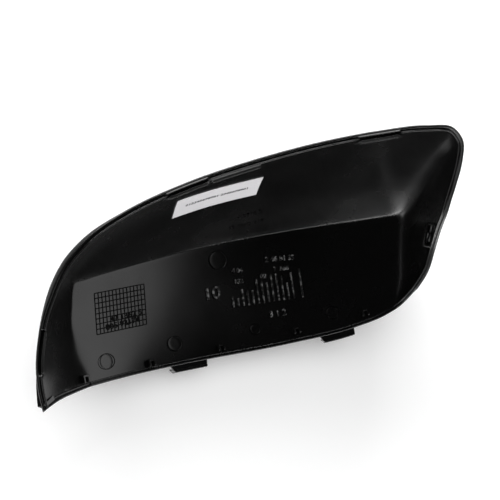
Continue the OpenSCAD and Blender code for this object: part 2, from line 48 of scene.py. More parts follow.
def turned(p):
    """Points turned from the cover's own frame to the way it lies."""
    p = np.asarray(p, float)
    y = p[..., 1] * math.cos(REST_ROLL) - p[..., 2] * math.sin(REST_ROLL)
    z = p[..., 1] * math.sin(REST_ROLL) + p[..., 2] * math.cos(REST_ROLL)
    x = p[..., 0]
    return np.stack([x * math.cos(REST_PITCH) + z * math.sin(REST_PITCH), y,
                     z * math.cos(REST_PITCH) - x * math.sin(REST_PITCH)], axis=-1)


# Sizes of the shell
WALL = 2.5
FACE_BOW = 60.0
FACE_CURL = 12.0
WALL_BULGE = 0.12
# Share of the bulge that goes down
BULGE_DROP = 0.7
END_TURN = 18.0
# How late the main face turns up into the inner end wall
TURN_POWER = 2.4
RIM_W = 3.0
LOW_RIM_W = 2.2
LIP_H = 0.8
SKIRT_H = 2.2

# Sections of the upper wall from the tip to the inner end: the rim's outer edge, then the edge line
SECTIONS = np.array([
    [-104, -50, 100, -84.5, -43.5], [-104.3, -41, 99.5, -87, -36.5], [-103, -30, 99, -89, -28],
    [-99.3, -17, 97, -88.5, -18], [-94.6, -5, 95, -86.3, -8], [-89.7, 4, 93, -84.5, -0.5],
    [-82, 13.5, 91, -83.2, 2.6], [-71, 21.5, 89, -78, 3.3], [-50, 29.5, 85, -57, 5],
    [-20, 36.2, 80, -28, 6.2], [10, 39.6, 76, 2, 5.8], [40, 41.2, 72, 34, 4.2],
    [70, 40.7, 67, 62, 2], [92, 38.7, 62, 78, 0.7], [104.5, 35, 59, 83.5, 0.1],
    [108, 28.5, 56, 86.5, -0.6], [106, 19, 53, 89, -1.6], [102, 10, 49, 91, -2.6],
    [97.5, 1.5, 46, 92.5, -3.4]], float)
CORNER = 6
RIM_END = np.array([[95, -3.5, 43.5], [91.5, -9.5, 38.5], [87.5, -18, 31], [82.3, -28.2, 25],
                    [74.5, -36.8, 20]], float)
RIM_LOW = np.array([[74.5, -36.8], [67, -42.7], [58, -46], [42, -48.5], [8, -49], [-32, -47],
                    [-68, -45.7], [-85, -45.7]], float)
RIM_TIP = np.array([[-85, -45.7, 61.3], [-91, -46.2, 73], [-97.5, -47.2, 86], [-104, -50, 100]], float)
LAST = len(SECTIONS) - 1
RIM_PTS = np.vstack([SECTIONS[:, :3], RIM_END])
LINE_PTS = SECTIONS[:, 3:]

# Where the main face lies deepest, how flat it is past there, and how its lower edge curls forward
BOW_U, BOW_REACH, BOW_PAST = 45.0, 129.0, 0.33
CURL_V, CURL_REACH = 5.0, 51.0
CURL_FROM, CURL_GROWS = -85.0, 75.0
# Shares of the curl that come evenly and toward the edge
CURL_EVEN, CURL_LATE = 0.2, 0.8


def ease(x):
    """0 to 1 with a soft start and end."""
    y = np.clip(x, 0, 1)
    return y * y * (3 - 2 * y)


def face_w(u, v):
    """Depth of the main face's inside at a point of the outline."""
    bow = FACE_BOW * ((u - BOW_U) / BOW_REACH) ** 2 * np.where(u < BOW_U, 1, BOW_PAST)
    h = (CURL_V - v) / CURL_REACH
    grown = ease((u - CURL_FROM) / CURL_GROWS)
    return bow + FACE_CURL * grown * (CURL_EVEN * h + CURL_LATE * np.maximum(h, 0) ** 3)


def unit(v):
    """Directions of length 1."""
    v = np.asarray(v, float)
    return v / np.maximum(np.linalg.norm(v, axis=-1, keepdims=True), 1e-9)


def curve(points, t):
    """Hermite spans through points, with tangents weighted by chord length."""
    step = np.diff(points, axis=0)
    chord = np.linalg.norm(step, axis=1)
    way = step / chord[:, None]
    before, after = chord[:-1, None], chord[1:, None]
    inner = (way[:-1] * after + way[1:] * before) / (before + after)
    tan = np.vstack([1.5 * way[:1] - 0.5 * inner[:1], inner, 1.5 * way[-1:] - 0.5 * inner[-1:]])
    t = np.atleast_1d(np.asarray(t, float))
    i = np.clip(np.floor(t).astype(int), 0, len(points) - 2)
    x = (t - i)[:, None]
    d = chord[i][:, None]
    a = 2 * x ** 3 - 3 * x ** 2 + 1
    return (a * points[i] + (x ** 3 - 2 * x ** 2 + x) * d * tan[i]
            + (1 - a) * points[i + 1] + (x ** 3 - x ** 2) * d * tan[i + 1])


def runs(points):
    """Running length along a list of points."""
    return np.concatenate([[0], np.cumsum(np.linalg.norm(np.diff(points, axis=0), axis=1))])


# Steps to a span where a curve's length is measured
SPAN_STEPS = 40


def curve_at(points, shares, start=0):
    """Points at shares of the curve's length."""
    t = np.linspace(start, len(points) - 1, (len(points) - 1 - start) * SPAN_STEPS + 1)
    s = runs(curve(points, t))
    return curve(points, np.interp(shares, s / s[-1], t))


# Loft parameters, closer together beside the two creases: sections along the wall, and shares of its height
NEAR_CORNER = 1.1 * np.array([0.02, 0.05, 0.09, 0.13, 0.18, 0.25])
NEAR_LINE = [0, 0.006, 0.012, 0.019, 0.027, 0.036, 0.05]
OFF_CORNER, OFF_LINE = 0.4, 0.075
END_COLUMNS, LINE_COLUMNS, WALL_ROWS = 30, 100, 26
T_END = np.concatenate([
    np.linspace(0, CORNER - OFF_CORNER, END_COLUMNS), CORNER - NEAR_CORNER[::-1], [CORNER]])
T_LINE = np.concatenate([CORNER + NEAR_CORNER, np.linspace(CORNER + OFF_CORNER, LAST, LINE_COLUMNS)])
T = np.concatenate([T_END, T_LINE])
RISE = np.concatenate([NEAR_LINE, np.linspace(OFF_LINE, 1, WALL_ROWS)])
# Steps of the loft round the outer end, along the edge line and up the wall
F = len(T_END) - 1
L = len(T) - 1 - F
R = len(RISE) - 1

rim_up = curve(RIM_PTS, T)
line_uv = curve(LINE_PTS, T)
line_run = runs(line_uv[F:])
end_run = runs(line_uv[:F + 1][::-1])
COLUMNS = line_run / line_run[-1]
ROWS = end_run / end_run[-1]
tip_run = curve_at(RIM_TIP, RISE)
turn_run = curve(RIM_PTS, LAST + 1 - RISE)
end_low = curve_at(RIM_PTS, ROWS, LAST + 1)
low_uv = curve_at(RIM_LOW, 1 - COLUMNS)
END_FROM = 1 - END_TURN / line_run[-1]


def turn_up(a):
    """Rise of the face into the inner end wall, at a share of its length."""
    return np.maximum((a - END_FROM) / (1 - END_FROM), 0) ** TURN_POWER


low_rise = end_low[-1, 2] - LIP_H - face_w(end_low[-1, 0], end_low[-1, 1] + LOW_RIM_W)
low_run = np.column_stack([low_uv, face_w(low_uv[:, 0], low_uv[:, 1] + LOW_RIM_W) + LIP_H
                           + low_rise * turn_up(COLUMNS)])

# The rim's outer edge as one closed loop, and where in it each run starts
RIM = np.vstack([tip_run, rim_up[1:], turn_run[::-1][1:], end_low[1:], low_run[::-1][1:-1]])
N_RIM = len(RIM)
AT_TIP = R
AT_TURN = AT_TIP + F + L
AT_END = AT_TURN + R
AT_LOW = AT_END + F

# Width of the rim, narrow along the lower edge, and its inward direction in plan, lengthened at a corner
MITRE_LEAST = 0.62
loop_way = runs(np.vstack([RIM, RIM[:1]]))[:-1]
wide = np.zeros(N_RIM)
wide[:AT_TIP + 1] = ease(loop_way[:AT_TIP + 1] / loop_way[AT_TIP])
wide[AT_TIP:AT_TURN + 1] = 1
wide[AT_TURN:AT_LOW + 1] = 1 - ease((loop_way[AT_TURN:AT_LOW + 1] - loop_way[AT_TURN])
                                    / (loop_way[AT_LOW] - loop_way[AT_TURN]))
RIM_WIDTH = LOW_RIM_W + (RIM_W - LOW_RIM_W) * wide
flat = RIM[:, :2]
before = unit(flat - np.roll(flat, 1, axis=0))
after = unit(np.roll(flat, -1, axis=0) - flat)
left_a = np.column_stack([-before[:, 1], before[:, 0]])
left_b = np.column_stack([-after[:, 1], after[:, 0]])
mean = unit(left_a + left_b)
RIM_IN = -mean / np.maximum(MITRE_LEAST, (mean * left_b).sum(1))[:, None]

# At the upper left the outside swells past the rim, between these sections
SWELL = 1.3
SWELL_FROM, SWELL_TO = (3.0, 4.8), (6.4, 8.2)
rim_sections = np.zeros(N_RIM)
rim_sections[AT_TIP:AT_TURN + 1] = T
rim_sections[AT_TURN:] = LAST
swelling = (ease((rim_sections - SWELL_FROM[0]) / (SWELL_FROM[1] - SWELL_FROM[0]))
            * ease((SWELL_TO[1] - rim_sections) / (SWELL_TO[1] - SWELL_TO[0])))


def rim_loop(inset, down, swell=1.0):
    """A loop inside the rim's outer edge: inset as a share of the rim's width, down in millimetres."""
    k = (inset * RIM_WIDTH + swell * SWELL * swelling)[:, None]
    return np.column_stack([RIM[:, :2] + RIM_IN * k, RIM[:, 2] - down])


INNER_RIM = rim_loop(1, LIP_H)
OUTER_RIM = rim_loop(0, SKIRT_H, 0)

end_points = INNER_RIM[AT_END:AT_END + F + 1]
END_RISE = end_points[:, 2] - face_w(end_points[:, 0], end_points[:, 1])
line = np.column_stack([line_uv, face_w(line_uv[:, 0], line_uv[:, 1])])
line[F:, 2] += END_RISE[0] * turn_up(COLUMNS)
line[0] = INNER_RIM[0]
line[-1] = INNER_RIM[AT_END]


# Sections over which the upper wall eases onto the rim, at the tip and at the inner end
TIP_EASE, TURN_EASE = 7 / 2, 5 / 3


def upper_wall():
    """The inside of the upper wall: one bulged section for each step of the loft."""
    a = line[:, None, :]
    b = INNER_RIM[AT_TIP:AT_TIP + F + L + 1][:, None, :]
    t = RISE[None, :, None]
    g = WALL_BULGE
    side = (b - a) * [1, 1, 0]
    up = (b - a) * [0, 0, 1]
    p = a + side * (1 / 3 + g) + up * (1 / 3 - BULGE_DROP * g)
    q = a + side * (2 / 3 + g) + up * (2 / 3 - BULGE_DROP * g)
    s = 1 - t
    w = s ** 3 * a + 3 * s * s * t * p + 3 * s * t * t * q + t ** 3 * b
    tip_fix = INNER_RIM[:R + 1] - w[0]
    turn_fix = INNER_RIM[AT_END - np.arange(R + 1)] - w[-1]
    tip_ease = np.maximum(0, 1 - T / TIP_EASE) ** 2
    turn_ease = np.maximum(0, 1 - (LAST - T) / TURN_EASE) ** 2
    return w + tip_fix[None] * tip_ease[:, None, None] + turn_fix[None] * turn_ease[:, None, None]


def main_face():
    """The inside of the main face: a patch between its four borders."""
    low = np.array([INNER_RIM[0] if j == 0 else INNER_RIM[AT_LOW + L - j] for j in range(L + 1)])
    a = COLUMNS[:, None, None]
    t = ROWS[None, :, None]
    top = line[F:][:, None, :2]
    left = line[:F + 1][::-1][None, :, :2]
    right = end_points[None, :, :2]
    p = ((1 - t) * top + t * low[:, None, :2] + (1 - a) * left + a * right
         - (1 - a) * (1 - t) * line[F, :2] - a * (1 - t) * line[-1, :2]
         - (1 - a) * t * line[0, :2] - a * t * INNER_RIM[AT_LOW, :2])
    w = face_w(p[..., 0], p[..., 1]) + END_RISE[None, :] * turn_up(COLUMNS)[:, None]
    g = np.dstack([p, w])
    g[:, 0] = line[F:]
    g[0] = line[:F + 1][::-1]
    g[-1] = end_points
    g[:, -1] = low
    return g


wall_grid, face_grid = upper_wall(), main_face()

# Point numbers: the wall's grid, then the face's own points
N_WALL = (F + L + 1) * (R + 1)
N_SKIN = N_WALL + L * F


def wall_at(i, r):
    """Number of the wall's point in column i and row r."""
    return i * (R + 1) + r


def face_at(j, k):
    """Number of the face's point in column j and row k; its first column and row belong to the wall."""
    if k == 0:
        return wall_at(F + j, 0)
    if j == 0:
        return wall_at(F - k, 0)
    return N_WALL + (j - 1) * F + k - 1


skin = np.vstack([wall_grid.reshape(-1, 3), face_grid[1:, 1:].reshape(-1, 3)])
skin_quads = [(wall_at(i, r), wall_at(i, r + 1), wall_at(i + 1, r + 1), wall_at(i + 1, r))
              for i in range(F + L) for r in range(R)]
skin_quads += [(face_at(j, k), face_at(j + 1, k), face_at(j + 1, k + 1), face_at(j, k + 1))
               for j in range(L) for k in range(F)]
rim_at = ([wall_at(0, r) for r in range(R + 1)] + [wall_at(i, R) for i in range(1, F + L + 1)]
          + [wall_at(F + L, r) for r in range(R - 1, -1, -1)] + [face_at(L, k) for k in range(1, F + 1)]
          + [face_at(j, F) for j in range(L - 1, 0, -1)])


def skin_normals(points, quads):
    """Outward directions at the points of a skin."""
    q = np.array(quads)
    n = np.cross(points[q[:, 2]] - points[q[:, 0]], points[q[:, 3]] - points[q[:, 1]])
    total = np.zeros_like(points)
    for c in range(4):
        np.add.at(total, q[:, c], n)
    return unit(total)


# Steps in which a skin is relaxed, the shortest side and least area that count, and a pinned point's weight
RELAX_STEPS, LEAST_SIDE, LEAST_AREA, PIN_WEIGHT = 160, 0.02, 1e-6, 1e6
TINY = 1e-20


def relax(points, quads, reach, pinned):
    """Rounds a skin where reach is above zero, as if a ball of about that radius had rolled over it."""
    q = np.array(quads)
    sides = [np.linalg.norm(points[q[:, (c + 1) % 4]] - points[q[:, c]], axis=1) for c in range(4)]
    total = np.full(len(points), LEAST_AREA)
    area = (sides[0] + sides[2]) * (sides[1] + sides[3]) / 4
    pairs, pull = [], []
    for c in range(4):
        np.add.at(total, q[:, c], area / 4)
        pairs.append(q[:, [c, (c + 1) % 4]])
        width = (sides[(c + 1) % 4] + sides[(c + 3) % 4]) / 4
        mean_reach = (reach[q[:, c]] + reach[q[:, (c + 1) % 4]]) / 2
        pull.append(width / np.maximum(sides[c], LEAST_SIDE) * mean_reach ** 2 / 2)
    a, b = np.vstack(pairs).T
    k = np.concatenate(pull)[:, None]
    total[pinned] = PIN_WEIGHT
    mass = total[:, None]

    def apply(x):
        d = k * (x[a] - x[b])
        out = mass * x
        np.add.at(out, a, d)
        np.add.at(out, b, -d)
        return out

    # Conjugate gradients, scaled by the diagonal
    scale = mass.copy()
    np.add.at(scale, a, k)
    np.add.at(scale, b, k)
    x = points.copy()
    r = mass * points - apply(x)
    z = r / scale
    p = z.copy()
    rz = (r * z).sum(0)
    for _ in range(RELAX_STEPS):
        ap = apply(p)
        alpha = rz / np.maximum((p * ap).sum(0), TINY)
        x += alpha * p
        r -= alpha * ap
        z = r / scale
        new_rz = (r * z).sum(0)
        p = z + new_rz / np.maximum(rz, TINY) * p
        rz = new_rz
    return x


def from_path(points, path):
    """Distance of points from a path of straight pieces, in plan where the path is."""
    path = np.array(path, float)
    points = points[:, :path.shape[1]]
    nearest = np.full(len(points), np.inf)
    for a, b in zip(path[:-1], path[1:]):
        t = np.clip(((points - a) @ (b - a)) / ((b - a) @ (b - a)), 0, 1)
        nearest = np.minimum(nearest, np.linalg.norm(points - a - t[:, None] * (b - a), axis=1))
    return nearest


# How round the moulding is along its crease, at the fold up the inner end and at the foot of the outer end:
# a reach that fades over a width to each side of a path. The fold keeps off the rim beside it.
CREASE_REACH, CREASE_WIDE, CREASE_FULL = 1.1, 4.0, 0.2
FOLD = ((76, -26), (84, -13), (90, -2), (101, 26))
FOLD_REACH, FOLD_WIDE, FOLD_KEEPS = 7.0, 22.0, 12.0
FOOT = ((-86, -24), (-88, -42))
FOOT_REACH, FOOT_WIDE = 5.0, 14.0
RIM_BEFORE_TURN = 30
rim_side = INNER_RIM[AT_TURN - RIM_BEFORE_TURN:AT_LOW + 1]
off_rim = ease(from_path(skin, rim_side) / FOLD_KEEPS)
reach = FOLD_REACH * ease(1 - from_path(skin, FOLD) / FOLD_WIDE) * off_rim
reach = np.maximum(reach, FOOT_REACH * ease(1 - from_path(skin, FOOT) / FOOT_WIDE))
reach = np.maximum(reach, CREASE_REACH * ease(1 + CREASE_FULL - from_path(skin, line) / CREASE_WIDE))
skin = relax(skin, skin_quads, reach, rim_at)

outer = skin + WALL * skin_normals(skin, skin_quads)
outer[rim_at] = OUTER_RIM

# The rim's section from the inside to the outside: lip, groove, outer ridge, skirt;
# each point is a share of the width, how far down, and its share of the swell
RIM_SECTION = [
    (0.99, 0.45, 1), (0.96, 0.2, 1), (0.91, 0.05, 1), (0.85, 0.0, 1), (0.79, 0.04, 1), (0.74, 0.17, 1),
    (0.70, 0.42, 1), (0.66, 0.62, 1), (0.61, 0.7, 1), (0.55, 0.66, 1), (0.48, 0.46, 1), (0.41, 0.22, 1),
    (0.34, 0.06, 1), (0.27, 0.0, 1), (0.19, 0.03, 1), (0.11, 0.15, 1), (0.05, 0.35, 0.95),
    (0.015, 0.7, 0.7), (0.0, 1.2, 0.35), (0.0, 1.7, 0.1)]
loops = [rim_loop(a, d, swell) for a, d, swell in RIM_SECTION]
points = np.vstack([skin, outer] + loops)
loop_ids = ([list(rim_at)] + [[2 * N_SKIN + n * N_RIM + m for m in range(N_RIM)] for n in range(len(loops))]
            + [[N_SKIN + x for x in rim_at]])
rim_quads = [(a[m], b[m], b[(m + 1) % N_RIM], a[(m + 1) % N_RIM])
             for a, b in zip(loop_ids[:-1], loop_ids[1:]) for m in range(N_RIM)]
outer_quads = [(c + N_SKIN, b + N_SKIN, a + N_SKIN, d + N_SKIN) for a, b, c, d in skin_quads]
shell_faces = skin_quads + outer_quads + rim_quads

# At rest the cover is centred on the origin with its lowest point on the ground
at_rest = turned(points)
low_side, high_side = at_rest.min(axis=0), at_rest.max(axis=0)
REST_SEAT = -np.array([(low_side[0] + high_side[0]) / 2, (low_side[1] + high_side[1]) / 2, low_side[2]])


def put(p):
    """Points from the cover's own frame in millimetres to their place at rest in metres."""
    return (turned(p) + REST_SEAT) * MM


def new_mesh(name, verts, faces, angle=35):
    """A mesh from points in the cover's frame, smooth but for edges sharper than angle."""
    mesh = bpy.data.meshes.new(name)
    mesh.from_pydata([tuple(x) for x in put(verts)], [], [tuple(int(i) for i in f) for f in faces])
    mesh.update()
    work = bmesh.new()
    work.from_mesh(mesh)
    bmesh.ops.recalc_face_normals(work, faces=work.faces)
    work.to_mesh(mesh)
    work.free()
    mesh.shade_smooth()
    mesh.set_sharp_from_angle(angle=math.radians(angle))
    ob = bpy.data.objects.new(name, mesh)
    bpy.context.scene.collection.objects.link(ob)
    return ob


def soften(ob, width, segments=2, angle=40):
    """Rounds the edges of a moulded piece, width in millimetres."""
    mod = ob.modifiers.new("rounded edges", "BEVEL")
    mod.width = width * MM
    mod.segments = segments
    mod.limit_method = "ANGLE"
    mod.angle_limit = math.radians(angle)
    return ob


def tube_faces(rings, sides, first=0):
    """Faces of a closed tube of rings of points, numbered from first, with a face across each end."""
    faces = []
    for i in range(rings - 1):
        a, b = first + i * sides, first + (i + 1) * sides
        for j in range(sides):
            k = (j + 1) % sides
            faces.append((a + j, a + k, b + k, b + j))
    faces.append(tuple(range(first, first + sides)))
    faces.append(tuple(range(first + (rings - 1) * sides, first + rings * sides)))
    return faces


def sweep(name, frames, profile, trims=None):
    """A closed profile of (y, z) points carried along frames of (origin, x, y, z).

    trims gives for each profile point how far it pulls back from the first and from the last end."""
    n, m = len(frames), len(profile)
    if trims is None:
        trims = [(0, 0)] * m
    verts = []
    for i, (o, x, y, z) in enumerate(frames):
        way = i / (n - 1)
        for (a, b), (first, last) in zip(profile, trims):
            verts.append(o + (first * (1 - way) - last * way) * x + a * y + b * z)
    return new_mesh(name, np.array(verts), tube_faces(n, m), angle=30)


def drop_twins(mesh):
    """Deletes faces that lie back to back on the same points, which a cut can leave along an edge."""
    work = bmesh.new()
    work.from_mesh(mesh)
    bmesh.ops.triangulate(work, faces=[face for face in work.faces if len(face.verts) > 4])
    on_points = {}
    for face in work.faces:
        on_points.setdefault(frozenset(vert.index for vert in face.verts), []).append(face)
    twins = [face for faces in on_points.values() if len(faces) > 1 for face in faces]
    bmesh.ops.delete(work, geom=twins, context="FACES")
    work.to_mesh(mesh)
    work.free()


def cut(ob, cutters):
    """Subtracts the cutters from ob and removes them."""
    for c in cutters:
        mod = ob.modifiers.new("cut", "BOOLEAN")
        mod.operation = "DIFFERENCE"
        mod.solver = "EXACT"
        mod.object = c
    bpy.context.view_layer.update()
    done = ob.evaluated_get(bpy.context.evaluated_depsgraph_get())
    mesh = bpy.data.meshes.new_from_object(done)
    drop_twins(mesh)
    ob.modifiers.clear()
    ob.data = mesh
    for c in cutters:
        bpy.data.objects.remove(c)


# Sections and running lengths along the rim, closely spaced
RIM_T = np.linspace(0, len(RIM_PTS) - 1, 2400)
RIM_S = runs(curve(RIM_PTS, RIM_T))


def rim_frame(t, tilted=True):
    """A frame at section t: origin on the rim's outer edge, then along the rim, outward and up."""
    o = curve(RIM_PTS, t)[0]
    d = unit(curve(RIM_PTS, t + 0.05)[0] - curve(RIM_PTS, t - 0.05)[0])
    out = unit([-d[1], d[0], 0])
    if not tilted:
        d = unit([d[0], d[1], 0])
    return o, d, out, np.cross(d, out)


def rim_frames(t, length, n=13):
    """Frames over a length of rim centred on section t."""
    s = np.interp(t, RIM_T, RIM_S)
    return [rim_frame(x) for x in np.interp(np.linspace(s - length / 2, s + length / 2, n), RIM_S, RIM_T)]


def low_point(u):
    """A point of the lower rim's outer edge."""
    along, v, w = low_run.T
    return np.array([u, np.interp(u, along, v), np.interp(u, along, w)])


def low_frames(u, length, n=13):
    """Frames over a length of the lower rim centred on u; y points into the cover."""
    out = []
    reach = 3
    for x in np.linspace(u - length / 2, u + length / 2, n):
        d = unit(low_point(x + reach) - low_point(x - reach))
        y = unit([-d[1], d[0], 0])
        out.append((low_point(x), d, y, np.cross(d, y)))
    return out


def face_frame(u, v, lean=0.0):
    """Origin on the main face's inside with z along its normal, y leaning from v toward u by lean degrees."""
    h = 0.5
    su = float(face_w(u + h, v) - face_w(u - h, v))
    sv = float(face_w(u, v + h) - face_w(u, v - h))
    z = unit([-su, -sv, 1])
    d = np.array([math.sin(math.radians(lean)), math.cos(math.radians(lean)), 0])
    y = unit(d - z * (d @ z))
    return np.array([u, v, float(face_w(u, v))]), np.cross(y, z), y, z


def box_profile(y0, y1, z0, z1):
    """A rectangle as a profile."""
    return [(y0, z0), (y1, z0), (y1, z1), (y0, z1)]


# Ledges on the rim, each with a slot behind it: section, and how far one stands nearer the rim's edge
LEDGES = {"ledge_end": (2.5, 0.8), "ledge_outer": (8.95, 0), "ledge_inner": (12.0, 0)}
LEDGE_L = 19.0
LEDGE_OUT = 1.5
LEDGE_T = 1.2
LEDGE_DROP = 4.0
LEDGE_TOP = 0.6
LEDGE_FOOT = 2.0
LEDGE_ROUND = 0.2
SLOT_W = 1.5
SLOT_END = 0.6
# How far the top of a ledge or of the pad falls for each millimetre it stands out
SLOPE = 0.65
shell = new_mesh("shell_skin", points, shell_faces)
moulded = [shell]
cutters = []
for name, (t, nearer) in LEDGES.items():
    y = -RIM_W - LEDGE_OUT + nearer
    cutters.append(sweep("slot_cutter", rim_frames(t, LEDGE_L + 2 * SLOT_END),
                         box_profile(y + LEDGE_T / 2, y + LEDGE_T + SLOT_W, -LEDGE_DROP, 1)))
    low = -LEDGE_DROP - LEDGE_FOOT
    bar = sweep(name, rim_frames(t, LEDGE_L), [(y, low), (y + LEDGE_T, low), (y + LEDGE_T, -LEDGE_TOP),
                                               (y, -LEDGE_TOP - LEDGE_T * SLOPE)])
    moulded.append(soften(bar, LEDGE_ROUND))
cut(shell, cutters)

# Pad along the middle of the upper rim
PAD_AT, PAD_L, PAD_OUT, PAD_H, PAD_TOP = 9.72, 26.0, 1.6, 4.0, 1.0
# How far its front pulls back at both ends
PAD_TRIM, PAD_ROUND = 1.5, 0.3
pad_front, pad_back = -RIM_W - PAD_OUT, -RIM_W / 2
pad = sweep("rim_pad", rim_frames(PAD_AT, PAD_L),
            [(pad_front, -PAD_TOP - PAD_H), (pad_back, -PAD_TOP - PAD_H), (pad_back, -PAD_TOP),
             (pad_front, -PAD_TOP - (pad_back - pad_front) * SLOPE)],
            trims=[(PAD_TRIM, PAD_TRIM), (0, 0), (0, 0), (PAD_TRIM, PAD_TRIM)])
moulded.append(soften(pad, PAD_ROUND))

# Catch tabs below the lower edge: a web, a plate reaching behind the rim and a bead along its end
TABS = {"tab_outer": -40.0, "tab_inner": 33.0}
TAB_L, TAB_OUT, TAB_DROP, TAB_T, BEAD_R, WEB_TOP, PLATE_TOP = 18.0, 3.2, 6.0, 1.2, 1.1, 0.8, 0.2
# How far a tab's ends pull back for each millimetre outward, at the tip's side and at the other
TAB_SLANT = (0.75, 0.25)
TAB_ROUND = 0.35
# Where the bead starts and ends round its middle, in degrees, and its points
BEAD_FROM, BEAD_TO, BEAD_POINTS = 57, -237, 15


def tab_profile():
    """Section of a tab: y into the cover, z toward its open side."""
    front, back, root = -TAB_OUT, -TAB_OUT + TAB_T, LOW_RIM_W / 2
    middle = -TAB_OUT + TAB_T / 2
    bead = [(middle + BEAD_R * math.cos(a), -TAB_DROP + BEAD_R * math.sin(a))
            for a in np.radians(np.linspace(BEAD_FROM, BEAD_TO, BEAD_POINTS))]
    return [(front, -PLATE_TOP), (back, -PLATE_TOP), (back, -WEB_TOP), (root, -WEB_TOP),
            (root, -WEB_TOP - TAB_T), (back, -WEB_TOP - TAB_T)] + bead


for name, u in TABS.items():
    profile = tab_profile()
    trims = [(TAB_SLANT[0] * max(0, -y), TAB_SLANT[1] * max(0, -y)) for y, z in profile]
    moulded.append(soften(sweep(name, low_frames(u, TAB_L), profile, trims), TAB_ROUND, segments=3))

# Hook block beside the inner end of the rim, with two thin rails in its recess
HOOK_AT, HOOK_IN, HOOK_TOP = 20.45, 4.65, 2.3
HOOK_L, HOOK_W, HOOK_H = 12.0, 4.0, 6.0
RECESS_L, RECESS_W, RECESS_DEEP = 9.5, 2.4, 3.2
HOOK_ROUND = 0.25
# Rails in the recess: from and to along the block, and how far each lies from its middle
RAILS = {"rail_1": (-0.8, 4.2, -0.45), "rail_2": (-0.6, 3.4, 0.75), "rail_3": (-4.6, -1.0, 0.45)}
RAIL_W, RAIL_TOP, RAIL_PEAK, RAIL_SINK, RAIL_ROUND = 0.55, 0.4, 0.4, 0.2, 0.08


def straight_frames(base, x0, x1):
    """Frames at both ends of a straight run along a base frame."""
    o, x, y, z = base
    return [(o + x0 * x, x, y, z), (o + x1 * x, x, y, z)]


hook_base = rim_frame(HOOK_AT, tilted=False)
hook = sweep("hook_block", straight_frames(hook_base, -HOOK_L / 2, HOOK_L / 2),
             box_profile(-HOOK_IN - HOOK_W / 2, -HOOK_IN + HOOK_W / 2, -HOOK_TOP - HOOK_H, -HOOK_TOP))
cut(hook, [sweep("recess_cutter", straight_frames(hook_base, -RECESS_L / 2, RECESS_L / 2),
                 box_profile(-HOOK_IN - RECESS_W / 2, -HOOK_IN + RECESS_W / 2, -HOOK_TOP - RECESS_DEEP, 1))])
moulded.append(soften(hook, HOOK_ROUND))
# The rails are given pale paint further on: a painted highlight for their glints.
rails = []
for name, (x0, x1, y) in RAILS.items():
    y -= HOOK_IN
    left, right = y - RAIL_W / 2, y + RAIL_W / 2
    low, top = -HOOK_TOP - RECESS_DEEP - RAIL_SINK, -HOOK_TOP - RAIL_TOP
    rail = sweep(name, straight_frames(hook_base, x0, x1),
                 [(left, low), (right, low), (right, top - RAIL_PEAK), (y, top), (left, top - RAIL_PEAK)])
    rails.append(soften(rail, RAIL_ROUND))

# Lugs: small pockets open toward the lower edge, with extra height where the wall is steep
LUGS = {"lug_1": (-88.7, -41.3, 2), "lug_2": (-57.6, -42.2, 0), "lug_3": (-24.2, -43.4, 0),
        "lug_4": (13.6, -44.2, 0), "lug_5": (48.9, -43.2, 0)}
LUG_W, LUG_H, LUG_T, LUG_ROUND = 3.6, 2.6, 1.0, 0.2
# How far a piece on the face sinks into it
SINK = 0.6


def lug(name, u, v, rise):
    """A lug drawn as its plan carried along the face's normal."""
    o, x, y, z = face_frame(u, v)
    w, k = LUG_W / 2, LUG_W / 2 - LUG_T
    ring = [(-w, -w), (-k, -w), (-k, k), (k, k), (k, -w), (w, -w), (w, w), (-w, w)]
    return sweep(name, [(o - SINK * z, z, x, y), (o + (LUG_H + rise) * z, z, x, y)], ring)


for name, (u, v, rise) in LUGS.items():
    moulded.append(soften(lug(name, u, v, rise), LUG_ROUND))

# Round marks of the mould, drawn as low discs that follow the face
PIN_D, GATE_D, MARK_H = 9.0, 5.0, 0.21
MARKS = {"pin_mark_1": (-76.7, -36.3, PIN_D * 0.8), "pin_mark_2": (-45, -36, PIN_D * 0.78),
         "pin_mark_3": (-16.5, -1.5, PIN_D), "pin_mark_4": (33, -39, PIN_D * 0.67),
         "gate_mark": (-6, -38.5, GATE_D)}
# The broken stub on the gate mark: its place, diameter and height
GATE_STUB = (-6.2, -38.2, 1.8, 0.7)
# A disc's rounded rim and dished middle, as shares of its radius and of its height
DISC_SECTION = [(1.0, 0.6), (0.98, 0.9), (0.95, 1), (0.92, 0.9),
                (0.9, 0.35), (0.87, 0.25), (0.5, 0.25), (0.2, 0.25)]
DISC_SIDES = 48


def disc(name, u, v, d, height):
    """A low disc that follows the face."""
    o, x, y, z = face_frame(u, v)
    rings = [(1.0, -SINK)] + [(share, h * height) for share, h in DISC_SECTION]
    verts = []
    for share, h in rings:
        for i in range(DISC_SIDES):
            a = 2 * math.pi * i / DISC_SIDES
            p = o + d / 2 * share * (math.cos(a) * x + math.sin(a) * y)
            p[2] = float(face_w(p[0], p[1]))
            verts.append(p + h * z)
    return new_mesh(name, np.array(verts), tube_faces(len(rings), DISC_SIDES), angle=50)


for name, (u, v, d) in MARKS.items():
    moulded.append(disc(name, u, v, d, MARK_H))
moulded.append(disc("gate_stub", *GATE_STUB))


def on_face(u, v, height):
    """A point at a height over the main face."""
    o, *_, z = face_frame(u, v)
    return o + height * z


# Section of a low half-round strip, as shares of its width and height, and how far its foot sinks in
HALF_ROUND = [(-0.5, 0.3), (-0.28, 0.85), (0, 1), (0.28, 0.85), (0.5, 0.3)]
STRIP_FOOT = 0.3


